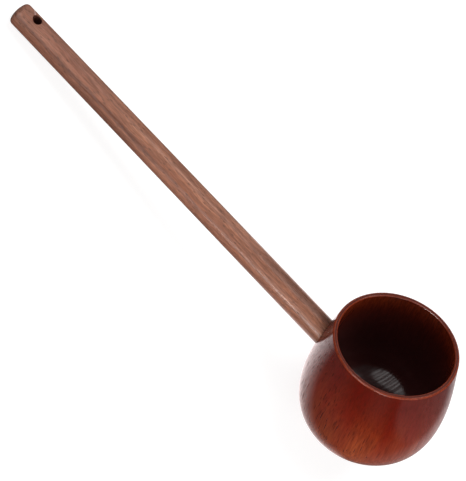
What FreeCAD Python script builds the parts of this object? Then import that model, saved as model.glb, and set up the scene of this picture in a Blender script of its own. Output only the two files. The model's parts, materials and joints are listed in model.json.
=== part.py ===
import FreeCAD, Part
import math
import os

# Wooden ladle: a turned, lacquered cup and a coped round handle glued into its wall.
# All sizes are millimetres and degrees. Pieces are first laid out about the cup's turning
# axis, with the foot at z = 0 and the handle towards -X, and then tipped to their rest pose.

# Outside of the cup
rim_radius = 40.0
rim_flare = 10.3
cup_height = 83.0
belly_radius = 46.6
belly_height = 35.0
heel_radius = 20.5
heel_turn = 45.0
foot_radius = 23.0

# How far each end of the side's two curves runs along its tangent
rim_run = 16.0
belly_run_up = 17.5
belly_run_down = 12.0
heel_run = 10.0

# Inside of the cup
lip_width = 2.9
lip_round = 1.0
inner_flare = 5.5
belly_wall = 6.6
bottom_wall = 8.0
inner_rim_run = 14.0
inner_belly_run_up = 17.0
inner_belly_run_down = 21.0
inner_floor_run = 26.0

# Handle
handle_rise = 23.25
handle_height = 38.3
handle_radius = 8.95
butt_radius = 7.9
handle_reach = 321.3
butt_dome_radius = 17.5
butt_edge_radius = 3.2

# Hanging hole, drilled with a lean towards the butt
hole_radius = 3.0
hole_lean = 15.0
hole_from_end = 15.0
hole_mouth_round = 0.4

# Glued joint
tenon_radius = 4.5
mortise_skin = 2.6
glue_gap = 0.1
end_gap = 0.3

UP = FreeCAD.Vector(0, 0, 1)
ORIGIN = FreeCAD.Vector(0, 0, 0)


def point(across, up):
    """A point of an outline: distance from the turning axis, and height."""
    return FreeCAD.Vector(across, 0, up)


def heading(degrees):
    """A unit direction in the outline's plane, measured from outwards towards up."""
    angle = math.radians(degrees)
    return FreeCAD.Vector(math.cos(angle), 0, math.sin(angle))


def smooth_curve(start, start_run, end_run, end):
    """A curve that leaves start along start_run and comes to end from end + end_run."""
    curve = Part.BezierCurve()
    curve.setPoles([start, start + start_run, end + end_run, end])
    return curve.toShape()


def turned(edges):
    """The solid that an outline sweeps about the turning axis."""
    face = Part.Face(Part.Wire(edges))
    return face.revolve(ORIGIN, UP, 360)


def corner_step(radius, corner_angle):
    """How far from a corner its rounding starts, by the angle inside the wood."""
    return radius / math.tan(math.radians(corner_angle / 2))


def outer_edges():
    """The cup's outer outline, from the middle of its foot up to the rounding of its rim."""
    foot_edge = point(foot_radius, 0)
    heel_centre = point(foot_radius, heel_radius)
    heel_middle = heel_centre + heading(heel_turn / 2 - 90) * heel_radius
    heel_top = heel_centre + heading(heel_turn - 90) * heel_radius
    belly = point(belly_radius, belly_height)
    rim_side = heading(rim_flare - 90)
    rim = point(rim_radius, cup_height) + rim_side * corner_step(lip_round, 90 + rim_flare)
    foot = Part.makeLine(ORIGIN, foot_edge)
    heel = Part.Arc(foot_edge, heel_middle, heel_top).toShape()
    lower_side = smooth_curve(heel_top, heading(heel_turn) * heel_run, UP * -belly_run_down, belly)
    side = smooth_curve(belly, UP * belly_run_up, rim_side * rim_run, rim)
    return [foot, heel, lower_side, side]


def inner_edges():
    """The outline of the cup's inside, from the rounding of its mouth to the middle of its floor."""
    mouth_side = heading(inner_flare - 90)
    mouth_corner = point(rim_radius - lip_width, cup_height)
    mouth = mouth_corner + mouth_side * corner_step(lip_round, 90 - inner_flare)
    belly = point(belly_radius - belly_wall, belly_height)
    floor = UP * bottom_wall
    side = smooth_curve(mouth, mouth_side * inner_rim_run, UP * inner_belly_run_up, belly)
    bowl = smooth_curve(belly, UP * -inner_belly_run_down, point(inner_floor_run, 0), floor)
    return [side, bowl]


def lip_edges(rim, mouth):
    """The flat lip between its two rounded edges, from the outer side over to the inner side."""
    rim_centre = rim - heading(rim_flare) * lip_round
    mouth_centre = mouth + heading(inner_flare) * lip_round
    rim_middle = rim_centre + heading((rim_flare + 90) / 2) * lip_round
    mouth_middle = mouth_centre + heading((inner_flare + 270) / 2) * lip_round
    rim_top = rim_centre + UP * lip_round
    mouth_top = mouth_centre + UP * lip_round
    rim_rounding = Part.Arc(rim, rim_middle, rim_top).toShape()
    flat = Part.makeLine(rim_top, mouth_top)
    mouth_rounding = Part.Arc(mouth_top, mouth_middle, mouth).toShape()
    return [rim_rounding, flat, mouth_rounding]


def end_point(edge, last):
    """The first or the last point of an outline's edge."""
    return edge.valueAt(edge.LastParameter if last else edge.FirstParameter)


def blank_solid():
    """The cup's outside as one solid, before it is hollowed."""
    outer = outer_edges()
    rim = end_point(outer[-1], True)
    centre = point(0, rim.z)
    return turned(outer + [Part.makeLine(rim, centre), Part.makeLine(centre, ORIGIN)])


def cup_solid():
    """The hollow cup, turned as one outline."""
    outer = outer_edges()
    inner = inner_edges()
    lip = lip_edges(end_point(outer[-1], True), end_point(inner[0], False))
    floor_middle = Part.makeLine(UP * bottom_wall, ORIGIN)
    return turned(outer + lip + inner + [floor_middle])


def along_handle(distance):
    """The place on the handle's axis at a distance from the cup's axis."""
    return UP * handle_height + heading(180 - handle_rise) * distance


def set_on_handle(shape):
    """Moves a shape made along +Z from the origin onto the handle's axis."""
    lean = FreeCAD.Rotation(FreeCAD.Vector(0, 1, 0), handle_rise - 90)
    shape.Placement = FreeCAD.Placement(UP * handle_height, lean)
    return shape


def wall_crossings(cup):
    """How far from the cup's axis the handle's axis enters and leaves the cup's wall."""
    axis = Part.makeLine(along_handle(0), along_handle(handle_reach))
    in_wall = axis.common(cup)
    distances = [vertex.Point.distanceToPoint(along_handle(0)) for vertex in in_wall.Vertexes]
    return min(distances), max(distances)


def butt_edge_distance():
    """Distance along the handle to the centre of the rounded edge of its butt."""
    dome_centre = handle_reach - butt_dome_radius
    to_edge_centre = butt_dome_radius - butt_edge_radius
    edge_centre_out = butt_radius - butt_edge_radius
    return dome_centre + math.sqrt(to_edge_centre ** 2 - edge_centre_out ** 2)


def handle_rod():
    """The tapered rod from the cup's axis to its domed butt, standing along +Z."""
    edge_centre = point(butt_radius - butt_edge_radius, butt_edge_distance())
    dome_centre = UP * (handle_reach - butt_dome_radius)
    dome_start = dome_centre + (edge_centre - dome_centre).normalize() * butt_dome_radius
    dome_angle = math.degrees(math.atan2(dome_start.z - dome_centre.z, dome_start.x))
    side_end = point(butt_radius, edge_centre.z)
    edge_middle = edge_centre + heading(dome_angle / 2) * butt_edge_radius
    dome_middle = dome_centre + heading((90 + dome_angle) / 2) * butt_dome_radius
    root = point(handle_radius, 0)
    tip = UP * handle_reach
    side = Part.makeLine(root, side_end)
    edge = Part.Arc(side_end, edge_middle, dome_start).toShape()
    dome = Part.Arc(dome_start, dome_middle, tip).toShape()
    middle = Part.makeLine(tip, ORIGIN)
    end = Part.makeLine(ORIGIN, root)
    return turned([side, edge, dome, middle, end])


def hanging_hole(rod):
    """The rod with a hole drilled across it near the butt, its mouths eased."""
    way = heading(hole_lean)
    start = UP * (handle_reach - hole_from_end) - way * butt_dome_radius
    drill = Part.makeCylinder(hole_radius, butt_dome_radius * 2, start, way)
    drilled = rod.cut(drill)
    walls = [face for face in drilled.Faces if is_hole_wall(face)]
    mouths = [edge for wall in walls for edge in wall.Edges if not isinstance(edge.Curve, Part.Line)]
    return drilled.makeFillet(hole_mouth_round, mouths)


def is_hole_wall(face):
    """Whether a face of the rod is the wall of the hanging hole."""
    surface = face.Surface
    return isinstance(surface, Part.Cylinder) and abs(surface.Axis.x) > abs(surface.Axis.z)


def rest_tilt():
    """The angle at which the heel and the butt's edge both touch a level surface."""
    heel_centre = point(-foot_radius, heel_radius)
    below_axis = heading(-90 - handle_rise) * (butt_radius - butt_edge_radius)
    edge_centre = along_handle(butt_edge_distance()) + below_axis
    between = edge_centre - heel_centre
    climb = math.atan2(between.z, -between.x)
    step = math.asin((heel_radius - butt_edge_radius) / between.Length)
    return math.degrees(climb + step)


def at_rest(shapes):
    """Tips the pieces over to lie on heel and butt, with the origin under their middle."""
    tip_over = FreeCAD.Placement(ORIGIN, FreeCAD.Rotation(FreeCAD.Vector(0, 1, 0), -rest_tilt()))
    tipped = [shape.transformed(tip_over.toMatrix()) for shape in shapes]
    box = Part.makeCompound(tipped).optimalBoundingBox(False, False)
    shift = FreeCAD.Vector(-box.Center.x, -box.Center.y, -box.ZMin)
    return [shape.translated(shift) for shape in tipped], shift


cup = cup_solid()
wall_in, seat = wall_crossings(cup)
mortise_floor = wall_in + mortise_skin
tenon_end = mortise_floor + end_gap

mortise_bore = Part.makeCylinder(tenon_radius + glue_gap, handle_radius * 2, UP * mortise_floor)
tenon = Part.makeCylinder(tenon_radius, seat - tenon_end, UP * tenon_end)
cup = cup.cut(set_on_handle(mortise_bore))
handle = set_on_handle(hanging_hole(handle_rod())).cut(blank_solid())
handle = handle.fuse(set_on_handle(tenon))

(cup, handle), shift = at_rest([cup, handle])

os.makedirs("parts", exist_ok=True)
cup.exportStep("parts/cup.step")
handle.exportStep("parts/handle.step")

for name, shape in (("cup", cup), ("handle", handle)):
    print(name, "valid", shape.isValid(), "solids", len(shape.Solids), "volume", round(shape.Volume, 1))
print("rest tilt", round(rest_tilt(), 3), "shift", [round(value, 3) for value in shift])
print("seat", round(seat, 2), "wall along handle", round(seat - wall_in, 2))
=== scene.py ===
import json
import logging
import math
from dataclasses import dataclass, field
from enum import Enum
from typing import Any, Mapping, Sequence, Union

import bmesh
import bpy
from mathutils import Euler, Matrix, Vector


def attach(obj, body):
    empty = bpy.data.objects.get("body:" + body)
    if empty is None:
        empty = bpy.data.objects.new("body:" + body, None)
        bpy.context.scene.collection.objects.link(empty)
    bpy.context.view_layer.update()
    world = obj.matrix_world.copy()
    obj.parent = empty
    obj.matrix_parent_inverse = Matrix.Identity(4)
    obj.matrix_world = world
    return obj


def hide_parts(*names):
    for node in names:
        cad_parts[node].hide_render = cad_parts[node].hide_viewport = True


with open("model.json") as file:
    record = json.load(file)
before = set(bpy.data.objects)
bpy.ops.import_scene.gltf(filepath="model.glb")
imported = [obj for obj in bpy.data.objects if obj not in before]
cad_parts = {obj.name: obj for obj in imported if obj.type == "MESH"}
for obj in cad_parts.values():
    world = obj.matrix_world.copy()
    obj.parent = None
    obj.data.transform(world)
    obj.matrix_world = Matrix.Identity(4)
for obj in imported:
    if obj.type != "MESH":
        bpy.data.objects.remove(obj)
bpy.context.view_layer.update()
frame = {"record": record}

# Wooden ladle: a turned cup in red-brown lacquer, and a coped handle of oiled walnut glued
# into its wall. The ladle lies at rest on the cup's heel and the lower edge of its butt.
# Sizes of pieces are millimetres and degrees, as a maker states them. Meshes, finishes and
# the studio are in metres.

MM = 0.001
PHOTO_WIDTH = 466
PHOTO_HEIGHT = 481
SENSOR = 36.0
NODE_STEP = 190
MORTISE_SIDES = 48
CRISP_CORNER = 50.0

# How near points are joined, and how far the cope looks for the cup's wall, in metres
WELD = 1e-6
WALL_SIGHT = 0.2

# Two directions whose cross product is smaller are taken as parallel
PARALLEL = 1e-9

# Rounds after which a point drilled through the tapered side has settled
SETTLING_ROUNDS = 4

# Carried by the points of the handle that the cope leaves where they are
FREE = -1.0

WHITE = (1.0, 1.0, 1.0, 1.0)
BLACK = (0.0, 0.0, 0.0, 1.0)

Colour = tuple[float, float, float, float]
Place = tuple[float, float, float]
Point = Union[Vector, tuple[float, float]]
# Where an eased change starts and ends, and what it goes from and to (0 and 1 if not given)
Ramp = tuple[float, ...]
Socket = bpy.types.NodeSocket
Sockets = bpy.types.bpy_prop_collection
Tree = bpy.types.NodeTree
Feed = Union[Socket, float, int, bool, str, Sequence[float]]
Feeds = Mapping[Union[str, int], Feed]

log = logging.getLogger("ladle")


class Slot(Enum):
    """The record's material slots, one for each wood."""

    CUP = "cup_lacquer"
    HANDLE = "handle_wood"


class Mouth(Enum):
    """The two mouths of the hanging hole, by the side of the handle that they open on."""

    UPPER = 1
    LOWER = -1


class Pattern(Enum):
    """The wood patterns that the finishes share, by the names of their groups."""

    STREAKS = "wood_streaks"
    PORES = "wood_pores"
    BAND = "heartwood_band"


class NodeBench:
    """Sets nodes into one node tree and joins them up."""

    def __init__(self, tree: Tree) -> None:
        """Takes the tree to work on."""
        self.tree = tree

    def takes(self, kind: str, inputs: Mapping[str, Any]) -> None:
        """Adds named inputs of one kind to the tree.

        Args:
            kind: Their kind of socket, such as "Float".
            inputs: For each name, what it holds when nothing is given, or None.
        """
        for name, value in inputs.items():
            socket = self.tree.interface.new_socket(
                name, in_out="INPUT", socket_type="NodeSocket" + kind)
            if value is not None:
                socket.default_value = value

    def gives(self, kind: str, name: str) -> None:
        """Adds a named output of a kind to the tree."""
        self.tree.interface.new_socket(name, in_out="OUTPUT", socket_type="NodeSocket" + kind)

    def put(self, kind: str, feeds: Feeds = {}, **settings: Any) -> bpy.types.Node:
        """Sets a node down and feeds its inputs.

        Args:
            kind: The node's type.
            feeds: For each input, by name or place, a socket to join or a value to set.
            settings: The node's own options.

        Returns:
            The new node.
        """
        node = self.tree.nodes.new(kind)
        node.location = (NODE_STEP * len(self.tree.nodes), 0)
        for name, value in settings.items():
            setattr(node, name, value)
        for name, feed in feeds.items():
            self.feed(node.inputs[name], feed)
        return node

    def first(self, kind: str, feeds: Feeds = {}, **settings: Any) -> Socket:
        """The first output of a node that is set down as put does it."""
        return self.put(kind, feeds, **settings).outputs[0]

    def feed(self, socket: Socket, feed: Feed) -> None:
        """Joins a socket to another, or sets its value.

        Args:
            socket: The input to feed.
            feed: A socket or a plain value.
        """
        if isinstance(feed, bpy.types.NodeSocket):
            self.tree.links.new(feed, socket)
        else:
            socket.default_value = feed

    def math(self, operation: str, first: Feed, second: Feed = 0.0, third: Feed = 0.0) -> Socket:
        """The result of one sum on up to three numbers.

        Args:
            operation: The Math node's operation.
            first: The first number.
            second: The second number, where the operation has one.
            third: The third number, where the operation has one.

        Returns:
            The socket that holds the result.
        """
        return self.first("ShaderNodeMath", {0: first, 1: second, 2: third}, operation=operation)

    def chain(self, operation: str, *values: Feed) -> Socket:
        """The result of one sum carried on over several numbers, such as their product.

        Args:
            operation: The Math node's operation.
            values: The numbers, two or more.

        Returns:
            The socket that holds the result.
        """
        result = values[0]
        for value in values[1:]:
            result = self.math(operation, result, value)
        return result

    def times(self, *values: Feed) -> Socket:
        """The product of two or more numbers."""
        return self.chain("MULTIPLY", *values)

    def vector_math(self, operation: str, first: Feed, second: Feed) -> Socket:
        """The result of one sum on two vectors.

        Args:
            operation: The Vector Math node's operation.
            first: The first vector.
            second: The second vector.

        Returns:
            The socket that holds the result, a vector or a number.
        """
        node = self.put("ShaderNodeVectorMath", {0: first, 1: second}, operation=operation)
        a_number = operation in ("LENGTH", "DISTANCE", "DOT_PRODUCT")
        return node.outputs["Value" if a_number else "Vector"]

    def length(self, vector: Feed) -> Socket:
        """The length of a vector."""
        return self.vector_math("LENGTH", vector, (0.0, 0.0, 0.0))

    def scaled(self, vector: Feed, factor: Feed) -> Socket:
        """A vector made longer or shorter by a factor."""
        feeds = {0: vector, "Scale": factor}
        return self.first("ShaderNodeVectorMath", feeds, operation="SCALE")

    def parts(self, vector: Feed) -> Sockets:
        """The X, Y and Z of a vector."""
        return self.put("ShaderNodeSeparateXYZ", {0: vector}).outputs

    def spread(self, value: Feed, low: Feed, high: Feed,
               to_low: Feed = 0.0, to_high: Feed = 1.0) -> Socket:
        """A value eased from one range to another, and held at its ends.

        Args:
            value: The number to ease.
            low: Where the range starts.
            high: Where the range ends.
            to_low: The result at the start.
            to_high: The result at the end.

        Returns:
            The socket that holds the result.
        """
        feeds = {"Value": value, "From Min": low, "From Max": high,
                 "To Min": to_low, "To Max": to_high}
        return self.first("ShaderNodeMapRange", feeds, interpolation_type="SMOOTHSTEP")

    def between(self, mask: Feed, off: Feed, on: Feed) -> Socket:
        """A number that goes from one value to another as a mask goes from 0 to 1."""
        return self.spread(mask, 0.0, 1.0, off, on)

    def mix_colour(self, share: Feed, first: Feed, second: Feed) -> Socket:
        """Two colours mixed by a share.

        Args:
            share: How much of the second colour there is.
            first: The colour at no share.
            second: The colour at full share.

        Returns:
            The socket that holds the mixed colour.
        """
        feeds = {0: share, 6: first, 7: second}
        return self.put("ShaderNodeMix", feeds, data_type="RGBA").outputs[2]

    def group(self, tree: Tree, feeds: Feeds) -> Socket:
        """The first output of a node group that is set down and fed."""
        kind = self.tree.bl_idname.replace("NodeTree", "NodeGroup")
        return self.first(kind, feeds, node_tree=tree)


def heading(degrees: float) -> Vector:
    """A unit direction in an outline's plane, measured from outwards towards up."""
    angle = math.radians(degrees)
    return Vector((math.cos(angle), math.sin(angle)))


def corner_step(radius: float, corner_angle: float) -> float:
    """How far from a corner its rounding starts, by the angle inside the wood."""
    return radius / math.tan(math.radians(corner_angle / 2))


@dataclass
class Outline:
    """The outline of a turned piece, as points with one carried value each.

    A point is a distance from the turning axis and a height, in millimetres. The carried
    value goes round with the point when the outline is turned.
    """

    points: list[Vector] = field(default_factory=list)
    carried: list[float] = field(default_factory=list)

    def add(self, point: Point, value: float) -> None:
        """Adds one point with its carried value."""
        self.points.append(Vector(point))
        self.carried.append(value)

    def line(self, end: Point, steps: int, value: float) -> None:
        """Goes straight on to a point.

        Args:
            end: Where the line ends.
            steps: How many parts it has.
            value: The carried value of its points.
        """
        begin = self.points[-1]
        for step in range(1, steps + 1):
            self.add(begin.lerp(Vector(end), step / steps), value)

    def arc(self, centre: Vector, turns: tuple[float, float], radius: float,
            steps: int, value: float) -> None:
        """Goes round an arc that starts at the last point.

        Args:
            centre: The arc's centre.
            turns: The headings from the centre to its first and last points, in degrees.
            radius: Its radius.
            steps: How many parts it has.
            value: The carried value of its points.
        """
        begin, end = turns
        for step in range(1, steps + 1):
            turn = begin + (end - begin) * step / steps
            self.add(centre + heading(turn) * radius, value)

    def curve(self, runs: tuple[Vector, Vector], end: Point, steps: int, value: float) -> None:
        """Goes on in one smooth curve from the last point.

        Args:
            runs: How it leaves the last point, and from its end, back along its tangent.
            end: Where it ends.
            steps: How many parts it has.
            value: The carried value of its points.
        """
        begin, last = self.points[-1], Vector(end)
        leave, arrive = begin + runs[0], last + runs[1]
        for step in range(1, steps + 1):
            t = step / steps
            s = 1 - t
            middle = leave * 3 * s * s * t + arrive * 3 * s * t * t
            self.add(begin * s**3 + middle + last * t**3, value)

    def mesh(self, name: str, attribute: str) -> bpy.types.Mesh:
        """The outline as a chain of edges in metres, for a tree to turn.

        Args:
            name: The mesh's name.
            attribute: The name that the carried value gets.

        Returns:
            The mesh.
        """
        chain = bpy.data.meshes.new(name)
        places = [(across * MM, 0.0, up * MM) for across, up in self.points]
        edges = [(index, index + 1) for index in range(len(places) - 1)]
        chain.from_pydata(places, edges, [])
        layer = chain.attributes.new(attribute, "FLOAT", "POINT")
        layer.data.foreach_set("value", self.carried)
        return chain


@dataclass(frozen=True)
class Stance:
    """How the ladle lies: a lean about the Y axis and a place, from the cup's own axes."""

    lean: float
    place: Vector

    @property
    def matrix(self) -> Matrix:
        """The move from the cup's own axes to rest, in metres."""
        return Matrix.Translation(self.place) @ Matrix.Rotation(self.lean, 4, "Y")


class TurningTrees:
    """The Geometry Nodes trees that turn the ladle's pieces from their outlines."""

    def __init__(self) -> None:
        """Builds the shared turning group first, and then a tree for each piece."""
        self.turned_form = self.build_turned_form()
        self.cup = self.build_cup()
        self.handle = self.build_handle()

    def build_turned_form(self) -> Tree:
        """The group that turns an outline into a closed form about the Z axis.

        Returns:
            The group, with the inputs Outline, Turn Steps and Carried, and the output Form.
        """
        bench = NodeBench(bpy.data.node_groups.new("turned_form", "GeometryNodeTree"))
        bench.takes("Geometry", {"Outline": None})
        bench.takes("Int", {"Turn Steps": 64})
        bench.takes("String", {"Carried": "carried"})
        bench.gives("Geometry", "Form")
        given = bench.put("NodeGroupInput").outputs
        outline, turn_steps, name = given["Outline"], given["Turn Steps"], given["Carried"]
        size = bench.put("GeometryNodeAttributeDomainSize", {"Geometry": outline}).outputs
        columns = bench.math("ADD", turn_steps, 1.0)
        counts = {"Vertices X": size["Point Count"], "Vertices Y": columns}
        grid = bench.first("GeometryNodeMeshGrid", counts)
        index = bench.first("GeometryNodeInputIndex")
        row = bench.math("FLOOR", bench.math("DIVIDE", bench.math("ADD", index, 0.5), columns))
        column = bench.math("SUBTRACT", index, bench.times(row, columns))
        turn = bench.times(bench.math("DIVIDE", column, turn_steps), -math.tau)
        position = bench.first("GeometryNodeInputPosition")
        own = bench.put("GeometryNodeInputNamedAttribute", {"Name": name}, data_type="FLOAT")
        spot, value = [
            bench.put("GeometryNodeSampleIndex", {"Geometry": outline, "Value": what, "Index": row},
                      data_type=kind).outputs["Value"]
            for what, kind in ((position, "FLOAT_VECTOR"), (own.outputs["Attribute"], "FLOAT"))]
        around = bench.first("ShaderNodeVectorRotate", {"Vector": spot, "Angle": turn},
                             rotation_type="Z_AXIS")
        placed = bench.first("GeometryNodeSetPosition", {"Geometry": grid, "Position": around})
        kept = bench.first("GeometryNodeStoreNamedAttribute",
                           {"Geometry": placed, "Name": name, "Value": value},
                           data_type="FLOAT", domain="POINT")
        closed = bench.first("GeometryNodeMergeByDistance", {"Geometry": kept, "Distance": WELD})
        bench.put("NodeGroupOutput", {"Form": closed})
        return bench.tree

    def new_tree(self, name: str, own: Mapping[str, Sequence[str]]) -> tuple[NodeBench, Sockets]:
        """A piece's tree with nothing but its inputs and its output, Ladle Piece.

        Args:
            name: The tree's name.
            own: The names of the piece's own inputs, by kind, beside those of both pieces.

        Returns:
            The tree's bench, and the sockets of its inputs.
        """
        bench = NodeBench(bpy.data.node_groups.new(name, "GeometryNodeTree"))
        shared = {"Geometry": ["Outline"], "Int": ["Turn Steps"], "Vector": ["Rest Place"],
                  "Float": ["Handle Lean", "Handle Height", "Rest Lean"], "Material": ["Finish"]}
        for inputs in (shared, own):
            for kind, names in inputs.items():
                bench.takes(kind, dict.fromkeys(names))
        bench.gives("Geometry", "Ladle Piece")
        return bench, bench.put("NodeGroupInput").outputs

    def turned(self, bench: NodeBench, outline: Feed, turn_steps: Feed, carried: str) -> Socket:
        """The form turned from an outline that carries a value by the given name."""
        feeds = {"Outline": outline, "Turn Steps": turn_steps, "Carried": carried}
        return bench.group(self.turned_form, feeds)

    def upwards(self, bench: NodeBench, height: Feed) -> Socket:
        """The place at a height on the Z axis."""
        return bench.first("ShaderNodeCombineXYZ", {"Z": height})

    def lean_over(self, bench: NodeBench, form: Feed, lean: Feed, place: Feed) -> Socket:
        """A form turned about the Y axis and then moved.

        Args:
            bench: The tree's bench.
            form: The geometry to move.
            lean: The turn, in radians.
            place: Where its origin goes.

        Returns:
            The moved geometry.
        """
        turn = bench.first("ShaderNodeCombineXYZ", {"Y": lean})
        feeds = {"Geometry": form, "Translation": place, "Rotation": turn}
        return bench.first("GeometryNodeTransform", feeds)

    def finish_tree(self, bench: NodeBench, form: Socket, given: Sockets) -> Tree:
        """Ends a tree: laid at rest, smooth with crisp corners, made real and finished.

        Args:
            bench: The tree's bench.
            form: The geometry in the cup's own axes.
            given: The sockets of the tree's inputs.

        Returns:
            The tree.
        """
        rest = self.lean_over(bench, form, given["Rest Lean"], given["Rest Place"])
        smooth = bench.first("GeometryNodeSetShadeSmooth", {"Geometry": rest}, domain="FACE")
        bend = bench.put("GeometryNodeInputMeshEdgeAngle").outputs["Unsigned Angle"]
        corner = bench.math("GREATER_THAN", bend, math.radians(CRISP_CORNER))
        crisp = bench.first("GeometryNodeSetShadeSmooth",
                            {"Geometry": smooth, "Selection": corner, "Shade Smooth": False},
                            domain="EDGE")
        real = bench.first("GeometryNodeRealizeInstances", {"Geometry": crisp})
        dressed = bench.first("GeometryNodeSetMaterial",
                              {"Geometry": real, "Material": given["Finish"]})
        bench.put("NodeGroupOutput", {"Ladle Piece": dressed})
        return bench.tree

    def build_cup(self) -> Tree:
        """The tree of the cup: turned, bored for the handle's tenon, and laid at rest.

        Returns:
            The tree, with the joint's sizes, the stance and the finish as inputs.
        """
        bench, given = self.new_tree("turned_cup", {"Float": ["Mortise Radius", "Mortise Floor"]})
        form = self.turned(bench, given["Outline"], given["Turn Steps"], "polish")
        length = bench.times(given["Mortise Radius"], 4.0)
        sizes = {"Vertices": MORTISE_SIDES, "Radius": given["Mortise Radius"], "Depth": length}
        bit = bench.first("GeometryNodeMeshCylinder", sizes)
        reach = bench.math("MULTIPLY_ADD", length, 0.5, given["Mortise Floor"])
        bit = self.lean_over(bench, bit, 0.0, self.upwards(bench, reach))
        height = self.upwards(bench, given["Handle Height"])
        bit = self.lean_over(bench, bit, given["Handle Lean"], height)
        bored = bench.first("GeometryNodeMeshBoolean", {0: form, 1: bit}, operation="DIFFERENCE")
        return self.finish_tree(bench, bored, given)

    def build_handle(self) -> Tree:
        """The tree of the handle: turned, lined at its hole, coped to the cup's wall.

        Where the handle's side is cut away for the hanging hole, the lining made for it is
        set in. Points that carry a value of zero or more are slid along the handle until they
        stand that far off the cup's wall.

        Returns:
            The tree, with the cup, the lining, the stance and the finish as inputs.
        """
        bench, given = self.new_tree("coped_handle", {
            "Object": ["Hole Lining", "Cup Outline"], "Int": ["Cup Turn Steps"],
            "Float": ["Hole Station", "Window Length", "Window Width"]})
        rod = self.turned(bench, given["Outline"], given["Turn Steps"], "off_wall")
        spot = bench.parts(bench.first("GeometryNodeInputPosition"))
        station = bench.math("SUBTRACT", spot["Z"], given["Hole Station"])
        in_length, in_width = [
            bench.math("LESS_THAN", bench.math("ABSOLUTE", off), bench.times(given[size], 0.5))
            for off, size in ((station, "Window Length"), (spot["Y"], "Window Width"))]
        opened = bench.first("GeometryNodeDeleteGeometry",
                             {"Geometry": rod, "Selection": bench.times(in_length, in_width)},
                             domain="FACE")
        lining, cup = [
            bench.put("GeometryNodeObjectInfo", {"Object": given[name]}).outputs["Geometry"]
            for name in ("Hole Lining", "Cup Outline")]
        joined = bench.put("GeometryNodeJoinGeometry")
        bench.feed(joined.inputs[0], opened)
        bench.feed(joined.inputs[0], lining)
        rod = bench.first("GeometryNodeMergeByDistance",
                          {"Geometry": joined.outputs[0], "Distance": WELD * 2})
        height = self.upwards(bench, given["Handle Height"])
        rod = self.lean_over(bench, rod, given["Handle Lean"], height)
        wall = self.turned(bench, cup, given["Cup Turn Steps"], "polish")
        inward = bench.first("ShaderNodeVectorRotate",
                             {"Vector": (0.0, 0.0, -1.0), "Angle": given["Handle Lean"]},
                             rotation_type="Y_AXIS")
        ray = {"Target Geometry": wall, "Ray Direction": inward, "Ray Length": WALL_SIGHT}
        to_wall = bench.put("GeometryNodeRaycast", ray).outputs["Hit Distance"]
        carried = bench.put("GeometryNodeInputNamedAttribute", {"Name": "off_wall"},
                            data_type="FLOAT").outputs["Attribute"]
        slide = bench.scaled(inward, bench.math("SUBTRACT", to_wall, carried))
        coped = bench.math("GREATER_THAN", carried, FREE / 2)
        fitted = bench.first("GeometryNodeSetPosition",
                             {"Geometry": rod, "Selection": coped, "Offset": slide})
        return self.finish_tree(bench, fitted, given)


def set_down(name: str, data: bpy.types.ID) -> bpy.types.Object:
    """A new object in the scene, at the origin.

    Args:
        name: Its name.
        data: Its mesh, lamp or lens.

    Returns:
        The object.
    """
    thing = bpy.data.objects.new(name, data)
    bpy.context.scene.collection.objects.link(thing)
    return thing


def shape_piece(name: str, outline: bpy.types.Mesh, tree: Tree,
                values: Mapping[str, Any]) -> bpy.types.Object:
    """Runs a tree on an outline and keeps the result as a plain mesh at the origin.

    Args:
        name: The piece's name.
        outline: The chain of edges that the tree turns.
        tree: The Geometry Nodes tree.
        values: What goes into the tree's named inputs.

    Returns:
        The finished piece.
    """
    carrier = set_down(name + "_outline", outline)
    modifier = carrier.modifiers.new(name, "NODES")
    modifier.node_group = tree
    for item in tree.interface.items_tree:
        if item.item_type == "SOCKET" and item.name in values:
            modifier[item.identifier] = values[item.name]
    graph = bpy.context.evaluated_depsgraph_get()
    mesh = bpy.data.meshes.new_from_object(
        carrier.evaluated_get(graph), preserve_all_data_layers=True, depsgraph=graph)
    mesh.name = name
    carrier.modifiers.remove(modifier)
    bpy.data.objects.remove(carrier)
    bm = bmesh.new()
    bm.from_mesh(mesh)
    bmesh.ops.recalc_face_normals(bm, faces=bm.faces)
    open_edges = sum(1 for edge in bm.edges if not edge.is_manifold)
    volume = bm.calc_volume() * 1e6
    log.info("%s: %d faces, %d open edges, %.1f cm3", name, len(bm.faces), open_edges, volume)
    bm.to_mesh(mesh)
    bm.free()
    mesh.materials.clear()
    mesh.materials.append(values["Finish"])
    mesh.polygons.foreach_set("material_index", [0] * len(mesh.polygons))
    return set_down(name, mesh)


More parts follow.
